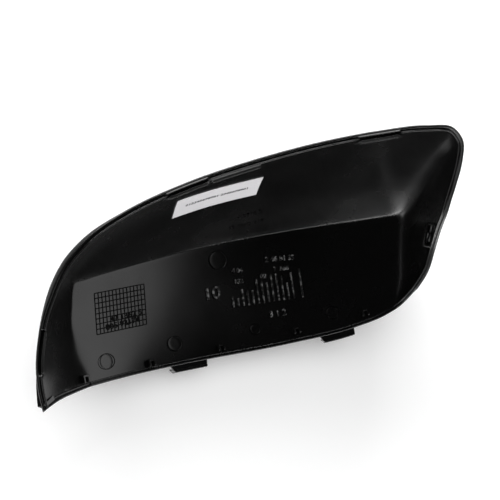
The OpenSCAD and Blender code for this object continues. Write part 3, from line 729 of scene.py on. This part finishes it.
def strips(name, lines, width, height, steps=8):
    """Low half-round strips that follow the main face; lines holds pairs of (u, v)."""
    verts, faces = [], []
    section = [(-0.5, -STRIP_FOOT)] + [(x, h * height) for x, h in HALF_ROUND] + [(0.5, -STRIP_FOOT)]
    m = len(section)
    for (a, b) in lines:
        a, b = np.array(a, float), np.array(b, float)
        side = np.array([-(b - a)[1], (b - a)[0]]) / np.linalg.norm(b - a) * width
        first = len(verts)
        for i in range(steps + 1):
            p = a + (b - a) * i / steps
            for x, h in section:
                q = p + side * x
                verts.append(on_face(q[0], q[1], h))
        faces += tube_faces(steps + 1, m, first)
    return new_mesh(name, np.array(verts), faces, angle=60)


# Comb of ribs: how far each stands along the row in pitches, and its share of the longest one
RIBS = [(0, 0.38), (1, 0.28), (2, 0.57), (3, 0.5), (4, 0.48), (5, 0.84), (6, 0.74), (7, 0.67),
        (8, 0.93), (9, 0.93), (10, 0.84), (11, 0.57), (12, 0.9), (13.75, 1)]
RIB_PITCH, RIB_W, RIB_L, RIB_H = 2.5, 0.9, 14.5, 0.9
COMB_AT, COMB_FALL, COMB_LEAN = (-13.8, -25.9), -0.2, math.radians(4.5)


def comb_lines():
    """Foot and top of each rib."""
    lean = np.array([math.sin(COMB_LEAN), math.cos(COMB_LEAN)])
    lines = []
    for along, share in RIBS:
        foot = np.array(COMB_AT) + [along * RIB_PITCH, along * COMB_FALL]
        lines.append((foot, foot + RIB_L * share * lean))
    return lines


# The comb is painted pale in patches: a painted highlight that stands in for the glints on its ribs.
glint_painted_marks = [strips("comb", comb_lines(), RIB_W, RIB_H)]

# A fine dark ring where each round mark meets the face: painted shade along the join.
RING_W, RING_H, RING_SIDES = 0.45, 0.05, 40


def ring_lines(u, v, d):
    """A circle as short lines."""
    turns = np.linspace(0, 2 * math.pi, RING_SIDES + 1)
    around = np.column_stack([u + d / 2 * np.cos(turns), v + d / 2 * np.sin(turns)])
    return list(zip(around[:-1], around[1:]))


# Fine grid of lines near the outer end: its middle, its size, the turn of its rows, the lean of its columns
GRID_MID, GRID_L, GRID_H = np.array([-65.6, -14.0]), 22.4, 19.2
GRID_TURN, GRID_LEAN = math.radians(-2), math.radians(8)
GRID_COLUMNS, GRID_ROWS = 14, 8
GRID_LINE_W, GRID_LINE_H = 0.5, 0.1


def grid_point(a, b):
    """A place on the main face at shares across and down the grid."""
    row = np.array([math.cos(GRID_TURN), math.sin(GRID_TURN)])
    column = np.array([math.sin(GRID_LEAN), math.cos(GRID_LEAN)])
    return GRID_MID + (a - 0.5) * GRID_L * row + (0.5 - b) * GRID_H * column


across = np.linspace(0, 1, GRID_COLUMNS + 1)
down = np.linspace(0, 1, GRID_ROWS + 1)
grid_lines = [(grid_point(a, 0), grid_point(a, 1)) for a in across]
grid_lines += [(grid_point(0, b), grid_point(1, b)) for b in down]
# The grid's lines are low strips in dark, dull plastic: painted shade that stands in for the shade in its
# grooves.
dark = [strips("grid_lines", grid_lines, GRID_LINE_W, GRID_LINE_H)]
# The rings are made of the dark, dull plastic: painted shade along each join.
for name, (u, v, d) in MARKS.items():
    dark.append(strips(name + "_ring", ring_lines(u, v, d), RING_W, RING_H, steps=1))

# Thin witness lines, one on the main face and one on the outer end wall by section and share of height
FACE_LINE, FACE_LINE_W = ((66, -1), (64.5, -12.5)), 0.45
WALL_LINE, WALL_LINE_W = ((3.5, 0.22), (2.1, 0.15)), 0.5
WITNESS_H = 0.25
moulded.append(strips("face_line", [FACE_LINE], FACE_LINE_W, WITNESS_H))


def wall_point(t, rise, height=0.0):
    """A point over the upper wall at a section and a share of its height."""
    i = np.interp(t, T, np.arange(len(T)))
    r = np.interp(rise, RISE, np.arange(len(RISE)))

    def grid_at(i, r):
        a, b = int(min(i, len(T) - 2)), int(min(r, len(RISE) - 2))
        x, y = i - a, r - b
        here, ahead = wall_grid[a], wall_grid[a + 1]
        return (1 - x) * ((1 - y) * here[b] + y * here[b + 1]) + x * ((1 - y) * ahead[b] + y * ahead[b + 1])

    p = grid_at(i, r)
    h = 0.3
    n = unit(np.cross(grid_at(i + h, r) - grid_at(i - h, r), grid_at(i, r + h) - grid_at(i, r - h)))
    return p + height * n


# Section of a strip on the wall, as shares of its width and height
RIDGE = [(-0.3, 0.8), (0, 1), (0.3, 0.8)]


def wall_strip(name, a, b, width, height):
    """A low strip over the upper wall between two places."""
    steps = 10
    section = [(-0.5, -STRIP_FOOT)] + [(x, h * height) for x, h in RIDGE] + [(0.5, -STRIP_FOOT)]
    places = np.linspace(a, b, steps + 1)
    middle = [wall_point(*q) for q in places]
    verts = []
    for i, q in enumerate(places):
        n = unit(wall_point(*q, 1) - middle[i])
        d = unit(middle[min(i + 1, steps)] - middle[max(i - 1, 0)])
        side = np.cross(d, n)
        for x, h in section:
            verts.append(middle[i] + side * x * width + n * h)
    return new_mesh(name, np.array(verts), tube_faces(steps + 1, len(section)), angle=60)


moulded.append(wall_strip("wall_line", *WALL_LINE, WALL_LINE_W, WITNESS_H))

# The label: a sheet of paper laid on the upper wall, its middle as a section and a share of the wall's
# height, and how many degrees its long side turns down from the run of the wall
LABEL_L, LABEL_H, LABEL_T, LABEL_GAP = 43.0, 19.0, 0.2, 0.16
LABEL_MID, LABEL_TURN = np.array([9.4, 0.69]), math.radians(4)


def wall_runs(q):
    """How the wall runs at a place, for one section along it and for its whole height."""
    h = 0.02
    along = (wall_point(q[0] + h, q[1]) - wall_point(q[0] - h, q[1])) / (2 * h)
    up = (wall_point(q[0], q[1] + h) - wall_point(q[0], q[1] - h)) / (2 * h)
    return along, up


# The long and the short direction of the flat sheet
label_centre = wall_point(*LABEL_MID)
wall_run = unit(wall_runs(LABEL_MID)[0])
wall_rise = unit(np.cross(wall_point(*LABEL_MID, 1) - label_centre, wall_run))
LABEL_AXES = np.array([wall_run * math.cos(LABEL_TURN) - wall_rise * math.sin(LABEL_TURN),
                       wall_run * math.sin(LABEL_TURN) + wall_rise * math.cos(LABEL_TURN)])


def under_sheet(a, b):
    """The section and share of height under a place in the flat sheet, found in a few steps."""
    target = label_centre + np.array([(a - 0.5) * LABEL_L, (0.5 - b) * LABEL_H]) @ LABEL_AXES
    q = LABEL_MID.copy()
    for _ in range(4):
        miss = LABEL_AXES @ (target - wall_point(*q))
        q += np.linalg.solve(LABEL_AXES @ np.column_stack(wall_runs(q)), miss)
    return q


# Found on a coarse grid over the sheet and read between its points
SHEET_X, SHEET_Y = 12, 6
SHEET = np.array([[under_sheet(a, b) for b in np.linspace(0, 1, SHEET_Y + 1)]
                  for a in np.linspace(0, 1, SHEET_X + 1)])


def label_point(a, b, height):
    """A point over the wall under a place in the sheet."""
    i, j = int(np.clip(a * SHEET_X, 0, SHEET_X - 1)), int(np.clip(b * SHEET_Y, 0, SHEET_Y - 1))
    x, y = a * SHEET_X - i, b * SHEET_Y - j
    q = ((1 - x) * ((1 - y) * SHEET[i, j] + y * SHEET[i, j + 1])
         + x * ((1 - y) * SHEET[i + 1, j] + y * SHEET[i + 1, j + 1]))
    return wall_point(q[0], q[1], height)


# How far the upper left corner lifts off, and how far in from it
CORNER_LIFT, CORNER_REACH = 0.12, 5
LABEL_COLUMNS, LABEL_ROWS = 56, 26


def make_label():
    """The sheet: its underside, its top and its edge."""
    cols, rows = LABEL_COLUMNS, LABEL_ROWS
    verts, faces = [], []
    for top in (0, 1):
        for i in range(cols + 1):
            for j in range(rows + 1):
                a, b = i / cols, j / rows
                lift = CORNER_LIFT * max(0, 1 - (a * LABEL_L + b * LABEL_H) / CORNER_REACH) ** 2
                verts.append(label_point(a, b, LABEL_GAP + lift + top * LABEL_T))
    n = (cols + 1) * (rows + 1)

    def at(i, j):
        return i * (rows + 1) + j

    for i in range(cols):
        for j in range(rows):
            q = (at(i, j), at(i + 1, j), at(i + 1, j + 1), at(i, j + 1))
            faces.append(q)
            faces.append(tuple(n + x for x in reversed(q)))
    ring = ([at(i, 0) for i in range(cols + 1)] + [at(cols, j) for j in range(1, rows + 1)]
            + [at(i, rows) for i in range(cols - 1, -1, -1)] + [at(0, j) for j in range(rows - 1, 0, -1)])
    for x, y in zip(ring, ring[1:] + ring[:1]):
        faces.append((x, y, n + y, n + x))
    return new_mesh("label_sheet", np.array(verts), faces, angle=60)


label = make_label()


# Half the depth at which digits are drawn before they are laid on a surface
DIGIT_HALF = 0.5


def digits(name, text, size, place, bold=0.0, spacing=1.0):
    """Plain numbers as a mesh: place maps a position in the text, in millimetres, and a height to a point."""
    data = bpy.data.curves.new(name + "_text", "FONT")
    data.body = text
    data.size = size
    data.align_x = "CENTER"
    data.align_y = "CENTER"
    data.space_character = spacing
    data.extrude = DIGIT_HALF
    data.resolution_u = 3
    data.offset = bold
    ob = bpy.data.objects.new(name + "_text", data)
    bpy.context.scene.collection.objects.link(ob)
    bpy.context.view_layer.update()
    mesh = bpy.data.meshes.new_from_object(ob.evaluated_get(bpy.context.evaluated_depsgraph_get()))
    bpy.data.objects.remove(ob)
    verts = np.array([place(v.co.x, v.co.y, v.co.z + DIGIT_HALF) for v in mesh.vertices])
    faces = [tuple(p.vertices) for p in mesh.polygons]
    return new_mesh(name, verts, faces, angle=40)


# The label's print: text, size, boldness, spacing, how far it sinks into the paper and its thickness
PRINT_TEXT, PRINT_SIZE, PRINT_BOLD, PRINT_SPACING = "012345678901 2345678901", 2.7, 0.1, 1.05
PRINT_SINK, PRINT_T = 0.02, 0.06


def on_label(x, y, h):
    """A place for digits on the label."""
    return label_point(0.5 + x / LABEL_L, 0.5 - y / LABEL_H, LABEL_GAP + LABEL_T - PRINT_SINK + PRINT_T * h)


label_print = digits("label_print", PRINT_TEXT, PRINT_SIZE, on_label, PRINT_BOLD, PRINT_SPACING)

# Relief and boldness of the digits on the face, in the grid and on the wall, and how far they sink in
FACE_RELIEF, FACE_BOLD = 0.7, 0.1
GRID_RELIEF, GRID_BOLD = 0.12, 0.12
WALL_RELIEF, WALL_BOLD = 0.5, 0.05
DIGIT_SINK = 0.15


def face_text(u, v, slope, relief):
    """A place for digits on the main face: centred on (u, v), turned by slope degrees."""
    c, s = math.cos(math.radians(slope)), math.sin(math.radians(slope))

    def place(x, y, h):
        return on_face(u + x * c - y * s, v + x * s + y * c, -DIGIT_SINK + (relief + DIGIT_SINK) * h)

    return place


# Plain numbers on the face: text, size, place and turn
FACE_DIGITS = {
    "digits_mid": ("10", 8.4, -22.9, -17.0, -4), "digits_low": ("3 1 2", 4.2, 6.5, -33.6, -4),
    "digits_a1": ("4 04", 3.0, -8.5, -8.6, -6), "digits_a2": ("132", 3.0, -9.0, -14.0, -4),
    "digits_b1": ("2 46 81 35", 3.4, 13.5, -7.4, -8), "digits_b2": ("02", 3.2, 3.5, -14.2, -4),
    "digits_b3": ("7  568", 3.0, 13.0, -12.4, -6)}
# The digits on the face are painted pale in patches too: a painted highlight for their glints.
for name, (text, size, u, v, slope) in FACE_DIGITS.items():
    glint_painted_marks.append(digits(name, text, size, face_text(u, v, slope, FACE_RELIEF), FACE_BOLD))

# Plain numbers in the lower rows of the grid: text, size, and place across and down the grid
GRID_DIGITS = {
    "grid_digits_1": ("47 1362 5", 3.6, 0.60, 0.69),
    "grid_digits_2": ("805 92174", 3.6, 0.52, 0.86)}
GRID_DIGITS_TURN = 1
# The grid's digits get the same dark, dull plastic: painted groove shade.
for name, (text, size, a, b) in GRID_DIGITS.items():
    place = face_text(*grid_point(a, b), GRID_DIGITS_TURN, GRID_RELIEF)
    dark.append(digits(name, text, size, place, GRID_BOLD))


def wall_text(t, rise, slope):
    """A place for digits on the upper wall, where a section and a share of height are so many millimetres."""
    across, up = [np.linalg.norm(way) for way in wall_runs((t, rise))]

    def place(x, y, h):
        return wall_point(t + (x - slope * y) / across, rise + (y + slope * x) / up,
                          -DIGIT_SINK + (WALL_RELIEF + DIGIT_SINK) * h)

    return place


# Plain numbers on the wall: text, size, section, share of height, and how much the row turns for its length
WALL_DIGITS = {
    "digits_wall_1": ("4 0516 2", 3.6, 9.95, 0.29, 0.05),
    "digits_wall_2": ("73 8042 619", 3.6, 9.9, 0.17, 0.05)}
for name, (text, size, t, rise, slope) in WALL_DIGITS.items():
    moulded.append(digits(name, text, size, wall_text(t, rise, slope), WALL_BOLD))


# Materials: shades, roughness, grain as a scale per millimetre, and depths in millimetres
def material(name):
    """A new material with its node tree and its shader."""
    mat = bpy.data.materials.new(name)
    mat.use_nodes = True
    return mat, mat.node_tree, mat.node_tree.nodes["Principled BSDF"]


def node(tree, kind, **values):
    """A new node; each value goes to the socket or the setting of its name."""
    n = tree.nodes.new(kind)
    for key, value in values.items():
        if key in n.inputs:
            n.inputs[key].default_value = value
        else:
            setattr(n, key, value)
    return n


def link(tree, a, b):
    """A link from an output to an input."""
    tree.links.new(a, b)


def noise(tree, scale, detail=4.0, rough=0.5):
    """Noise in the object's own millimetres."""
    place = tree.nodes.new("ShaderNodeTexCoord")
    size = node(tree, "ShaderNodeMapping", Scale=(1000, 1000, 1000))
    link(tree, place.outputs["Object"], size.inputs["Vector"])
    n = node(tree, "ShaderNodeTexNoise", Scale=scale, Detail=detail, Roughness=rough)
    link(tree, size.outputs["Vector"], n.inputs["Vector"])
    return n.outputs["Fac"]


def spread(tree, fac, low, high, from_low=0.3, from_high=0.7):
    """A value spread from one range to another."""
    m = node(tree, "ShaderNodeMapRange")
    m.inputs["From Min"].default_value = from_low
    m.inputs["From Max"].default_value = from_high
    m.inputs["To Min"].default_value = low
    m.inputs["To Max"].default_value = high
    link(tree, fac, m.inputs["Value"])
    return m.outputs["Result"]


def bump(tree, shader, fac, depth):
    """A fine relief in the shading, depth in millimetres."""
    b = node(tree, "ShaderNodeBump", Strength=1.0, Distance=depth * MM)
    link(tree, fac, b.inputs["Height"])
    link(tree, b.outputs["Normal"], shader.inputs["Normal"])


def moulded_plastic(name, shade, rough, grain, grain_depth, shine=0.5):
    """Black moulded plastic: a little uneven in gloss, with a fine grain."""
    mat, tree, shader = material(name)
    shader.inputs["Base Color"].default_value = (*shade, 1)
    shader.inputs["IOR"].default_value = 1.5
    shader.inputs["Specular IOR Level"].default_value = shine
    link(tree, spread(tree, noise(tree, 0.05), rough - 0.03, rough + 0.04), shader.inputs["Roughness"])
    bump(tree, shader, noise(tree, grain, detail=3), grain_depth)
    return mat


def two_shades(tree, shader, first, second, fac):
    """Colours a shader between two shades."""
    mix = node(tree, "ShaderNodeMix", data_type="RGBA")
    mix.inputs["A"].default_value = (*first, 1)
    mix.inputs["B"].default_value = (*second, 1)
    link(tree, fac, mix.inputs["Factor"])
    link(tree, mix.outputs["Result"], shader.inputs["Base Color"])


def plastic_with_painted_glints(name, shade, pale, rough):
    """Black plastic painted paler in patches: a painted highlight that stands in for the glints on raised
    marks.
    """
    mat, tree, shader = material(name)
    patches = spread(tree, noise(tree, 0.6, detail=5), 0.0, 1.0, from_low=0.47, from_high=0.6)
    two_shades(tree, shader, shade, pale, patches)
    shader.inputs["Roughness"].default_value = rough
    bump(tree, shader, noise(tree, 3.0), 0.01)
    return mat


def paper(name, shade, pale, rough):
    """Matt paper, a little cloudy, with a fine tooth."""
    mat, tree, shader = material(name)
    two_shades(tree, shader, shade, pale, noise(tree, 0.8, detail=5))
    shader.inputs["Roughness"].default_value = rough
    bump(tree, shader, noise(tree, 2.5, detail=6), 0.03)
    return mat


inside = moulded_plastic("satin black plastic", (0.003,) * 3, rough=0.25, grain=3.0, grain_depth=0.004)
outside = moulded_plastic("polished black plastic", (0.004,) * 3, rough=0.12, grain=0.6, grain_depth=0.002)
# Dark and dull: painted shade for the grid's grooves and digits, and for the rings round the round marks.
painted_groove_shade = moulded_plastic("grid line plastic with painted groove shade", (0.001,) * 3, rough=0.6, grain=3.0, grain_depth=0.01,
                           shine=0.1)
# Patches of pale paint on black: a painted highlight for the glints on raised marks.
painted_glint = plastic_with_painted_glints("black plastic with painted glints", (0.01,) * 3, (0.2,) * 3, rough=0.35)
ink = moulded_plastic("label ink", (0.02, 0.02, 0.025), rough=0.6, grain=3.0, grain_depth=0.003)
label_paper = paper("label paper", (0.60, 0.59, 0.61), (0.66, 0.65, 0.66), rough=0.62)

for ob in moulded:
    ob.data.materials.clear()
    ob.data.materials.append(inside)
shell.data.materials.append(outside)
# Painted shade: the grid's lines and digits, and the rings round the round marks.
for ob in dark:
    ob.data.materials.append(painted_groove_shade)
# The comb, the face's digits and the hook's rails get pale paint: a painted highlight for their glints.
for ob in glint_painted_marks + rails:
    ob.data.materials.append(painted_glint)
label.data.materials.append(label_paper)
label_print.data.materials.append(ink)
for ob in moulded + dark + glint_painted_marks + rails:
    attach(ob, "root")
    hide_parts("cover_shell")
for ob in (label, label_print):
    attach(ob, "root")
    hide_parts("label")


# Light: a plain studio of wide soft boxes on a dome about the cover: azimuth, elevation, width and height
# in degrees, and level. The outer half of the main face mirrors the right one, the upper wall the front
# one, the inner end wall the left one and the lower edge the back one.
DOME = 1.1
CENTRE = Vector((0, 0, 0.03))
LAMPS = {
    "soft_left": (190, 8, 70, 16, 12),
    "soft_front": (265, 8, 60, 16, 28),
    "soft_back": (90, 28, 60, 16, 40),
    "soft_right": (0, 35, 70, 30, 5),
}


def lamp(name, place, wide, high, level):
    """An area lamp that faces the cover; level is its power in watts for each square metre."""
    data = bpy.data.lights.new(name, "AREA")
    data.shape = "RECTANGLE"
    data.size, data.size_y = wide, high
    data.energy = level * data.size * data.size_y
    ob = bpy.data.objects.new(name, data)
    bpy.context.scene.collection.objects.link(ob)
    ob.location = place
    ob.rotation_mode = "QUATERNION"
    ob.rotation_quaternion = (CENTRE - ob.location).to_track_quat("-Z", "Y")
    return ob


for name, (*angles, level) in LAMPS.items():
    azimuth, elevation, wide, high = [math.radians(x) for x in angles]
    way = Vector((math.cos(azimuth) * math.cos(elevation), math.sin(azimuth) * math.cos(elevation),
                  math.sin(elevation)))
    across = 2 * DOME * math.tan(wide / 2) * math.cos(elevation)
    lamp(name, way * DOME, across, 2 * DOME * math.tan(high / 2), level)

# The ground: how bright the plastic mirrors it, and the light that lifts it for the camera, which grows to
# full white between these distances from the cover, in metres
GROUND_SIZE = 6
GROUND_MIRRORED = 0.9
GROUND_LIFT = 0.1
LIFT_GROWS = (0.3, 1.0)


def ground():
    """A white ground that keeps the cover's shadow for the camera and is mirrored as white."""
    bpy.ops.mesh.primitive_plane_add(size=GROUND_SIZE)
    floor = bpy.context.object
    floor.name = "ground"
    mat, tree, shader = material("white ground")
    shader.inputs["Base Color"].default_value = (0.9, 0.9, 0.9, 1)
    shader.inputs["Roughness"].default_value = 0.9
    seen = node(tree, "ShaderNodeBsdfDiffuse", Color=(1, 1, 1, 1))
    glow = node(tree, "ShaderNodeEmission")
    spot = tree.nodes.new("ShaderNodeTexCoord")
    away = node(tree, "ShaderNodeVectorMath", operation="LENGTH")
    link(tree, spot.outputs["Object"], away.inputs[0])
    link(tree, spread(tree, away.outputs["Value"], GROUND_LIFT, 1.0, *LIFT_GROWS), glow.inputs["Strength"])
    both = node(tree, "ShaderNodeAddShader")
    mix = node(tree, "ShaderNodeMixShader")
    path = node(tree, "ShaderNodeLightPath")
    link(tree, seen.outputs["BSDF"], both.inputs[0])
    link(tree, glow.outputs["Emission"], both.inputs[1])
    link(tree, path.outputs["Is Camera Ray"], mix.inputs["Fac"])
    link(tree, shader.outputs["BSDF"], mix.inputs[1])
    link(tree, both.outputs["Shader"], mix.inputs[2])
    mirrored = node(tree, "ShaderNodeEmission", Strength=GROUND_MIRRORED)
    last = node(tree, "ShaderNodeMixShader")
    link(tree, path.outputs["Is Glossy Ray"], last.inputs["Fac"])
    link(tree, mix.outputs["Shader"], last.inputs[1])
    link(tree, mirrored.outputs["Emission"], last.inputs[2])
    link(tree, last.outputs["Shader"], tree.nodes["Material Output"].inputs["Surface"])
    floor.data.materials.append(mat)


ground()

# A wide soft lamp above and behind lights the ground and the label, and leaves no glint
KEY_AT = Vector((-0.1, 0.25, 0.85))
KEY_SIZE = (1.4, 1.2)
KEY_LEVEL = 3.7
lamp("soft_key", KEY_AT, *KEY_SIZE, KEY_LEVEL).visible_glossy = False

# The camera sees a white world, and nothing else gets light from it
scene = bpy.context.scene
scene.view_settings.view_transform = "Standard"
scene.world = bpy.data.worlds.new("world")
scene.world.use_nodes = True
world_tree = scene.world.node_tree
world_path = node(world_tree, "ShaderNodeLightPath")
link(world_tree, world_path.outputs["Is Camera Ray"], world_tree.nodes["Background"].inputs["Strength"])
world_tree.nodes["Background"].inputs["Color"].default_value = (1, 1, 1, 1)

# The camera looks straight into the opening, turned about its own axis; height and view in millimetres
CAMERA_TURN = math.radians(12.5)
CAMERA_HEIGHT = 800.0
VIEW_SIZE = 250.0
SENSOR_W = 36.0
camera_data = bpy.data.cameras.new("camera")
camera = bpy.data.objects.new("camera", camera_data)
scene.collection.objects.link(camera)
scene.camera = camera
camera_data.sensor_width = SENSOR_W
camera_data.lens = camera_data.sensor_width * CAMERA_HEIGHT / VIEW_SIZE
back = turned([0, 0, 1])
up = turned([math.sin(CAMERA_TURN), math.cos(CAMERA_TURN), 0])
place = Matrix(np.column_stack([np.cross(up, back), up, back]).tolist()).to_4x4()
place.translation = Vector(put([0, 0, CAMERA_HEIGHT]))
camera.matrix_world = place
